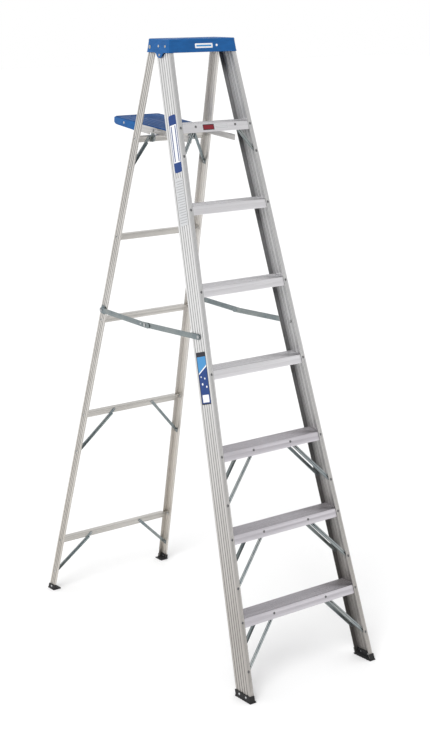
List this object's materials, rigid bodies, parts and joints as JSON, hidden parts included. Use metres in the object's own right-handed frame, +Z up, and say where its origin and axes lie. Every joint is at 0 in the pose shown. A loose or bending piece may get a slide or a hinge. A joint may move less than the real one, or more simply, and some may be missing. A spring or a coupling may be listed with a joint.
{
  "type": "step ladder",
  "caption": "Folding aluminium A-frame step ladder with flat treads, braced rear section, folding spreaders, plastic top cap and a fold-down pail shelf",
  "frame": {"origin": "on the floor, midway between the front and rear feet and between the left and right rails, with the ladder set up", "axes": "+X to the right of a person facing the steps, +Y from the steps to the rear section, +Z up"},
  "size_m": [0.6232, 1.4113, 2.347],
  "materials": {
    "rail_aluminium": "extruded mill finish, fine lengthwise grain",
    "step_aluminium": "extruded mill finish with lengthwise grip grooves",
    "bar_aluminium": "rolled mill finish",
    "zinc_steel": "bright zinc plate, faintly blue",
    "rivet_steel": "plated, satin",
    "cap_plastic": "moulded plastic, fine texture",
    "shelf_plastic": "moulded plastic, fine texture",
    "foot_rubber": "moulded rubber, matt"
  },
  "bodies": {
    "front_section": {"front_rail_left": "rail_aluminium", "front_rail_right": "rail_aluminium", "step_1": "step_aluminium", "step_2": "step_aluminium", "step_3": "step_aluminium", "step_4": "step_aluminium", "step_5": "step_aluminium", "step_6": "step_aluminium", "step_7": "step_aluminium", "top_cap": "cap_plastic", "front_foot_left": "foot_rubber", "front_foot_right": "foot_rubber", "knee_braces_1": "zinc_steel", "knee_braces_2": "zinc_steel", "knee_braces_3": "zinc_steel", "knee_braces_7": "zinc_steel", "step_rivets": "rivet_steel", "knee_rivets": "rivet_steel", "cap_rivets": "rivet_steel", "front_foot_rivets": "rivet_steel", "hinge_pins": "rivet_steel", "spreader_pins_front": "rivet_steel"},
    "rear_section": {"rear_rail_left": "rail_aluminium", "rear_rail_right": "rail_aluminium", "rear_bar_1": "bar_aluminium", "rear_bar_2": "bar_aluminium", "rear_bar_3": "bar_aluminium", "rear_bar_4": "bar_aluminium", "rear_bar_5": "bar_aluminium", "rear_braces": "zinc_steel", "rear_rivets": "rivet_steel", "rear_foot_left": "foot_rubber", "rear_foot_right": "foot_rubber", "rear_foot_rivets": "rivet_steel", "hinge_washers": "rivet_steel", "spreader_brackets": "zinc_steel", "spreader_pins_rear": "rivet_steel", "shelf_brackets": "zinc_steel", "shelf_pins": "rivet_steel"},
    "spreader_front_left": {"spreader_front_left": "zinc_steel"},
    "spreader_front_right": {"spreader_front_right": "zinc_steel"},
    "spreader_rear_left": {"spreader_rear_left": "zinc_steel", "knuckle_pin_left": "rivet_steel"},
    "spreader_rear_right": {"spreader_rear_right": "zinc_steel", "knuckle_pin_right": "rivet_steel"},
    "shelf": {"shelf_tray": "shelf_plastic", "shelf_arms": "bar_aluminium", "shelf_rivets": "rivet_steel"}
  },
  "joints": [
    {"name": "fold", "type": "hinge", "parent": "front_section", "child": "rear_section", "pos_m": [0, 0.0893, 2.3167], "axis": [-1, 0, 0], "range_deg": [0, 29.9]},
    {"name": "spreader_front_left_pivot", "type": "hinge", "parent": "front_section", "child": "spreader_front_left", "pos_m": [-0.2256, -0.287, 1.2831], "axis": [1, 0, 0], "range_deg": [0, 63.2]},
    {"name": "spreader_front_right_pivot", "type": "hinge", "parent": "front_section", "child": "spreader_front_right", "pos_m": [0.2256, -0.287, 1.2831], "axis": [1, 0, 0], "range_deg": [0, 63.2]},
    {"name": "spreader_rear_left_pivot", "type": "hinge", "parent": "rear_section", "child": "spreader_rear_left", "pos_m": [-0.2288, 0.3516, 1.2811], "axis": [-1, 0, 0], "range_deg": [0, 76.7]},
    {"name": "spreader_rear_right_pivot", "type": "hinge", "parent": "rear_section", "child": "spreader_rear_right", "pos_m": [0.2288, 0.3516, 1.2811], "axis": [-1, 0, 0], "range_deg": [0, 76.7]},
    {"name": "shelf_pivot", "type": "hinge", "parent": "rear_section", "child": "shelf", "pos_m": [0, 0.1548, 2.0005], "axis": [1, 0, 0], "range_deg": [0, 99.1]}
  ],
  "couplings": [
    {"joint": "spreader_front_left_pivot", "follows": "fold", "ratio": 2.11},
    {"joint": "spreader_front_right_pivot", "follows": "fold", "ratio": 2.11},
    {"joint": "spreader_rear_left_pivot", "follows": "fold", "ratio": 2.56},
    {"joint": "spreader_rear_right_pivot", "follows": "fold", "ratio": 2.56},
    {"joint": "shelf_pivot", "follows": "fold", "ratio": 3.311}
  ]
}
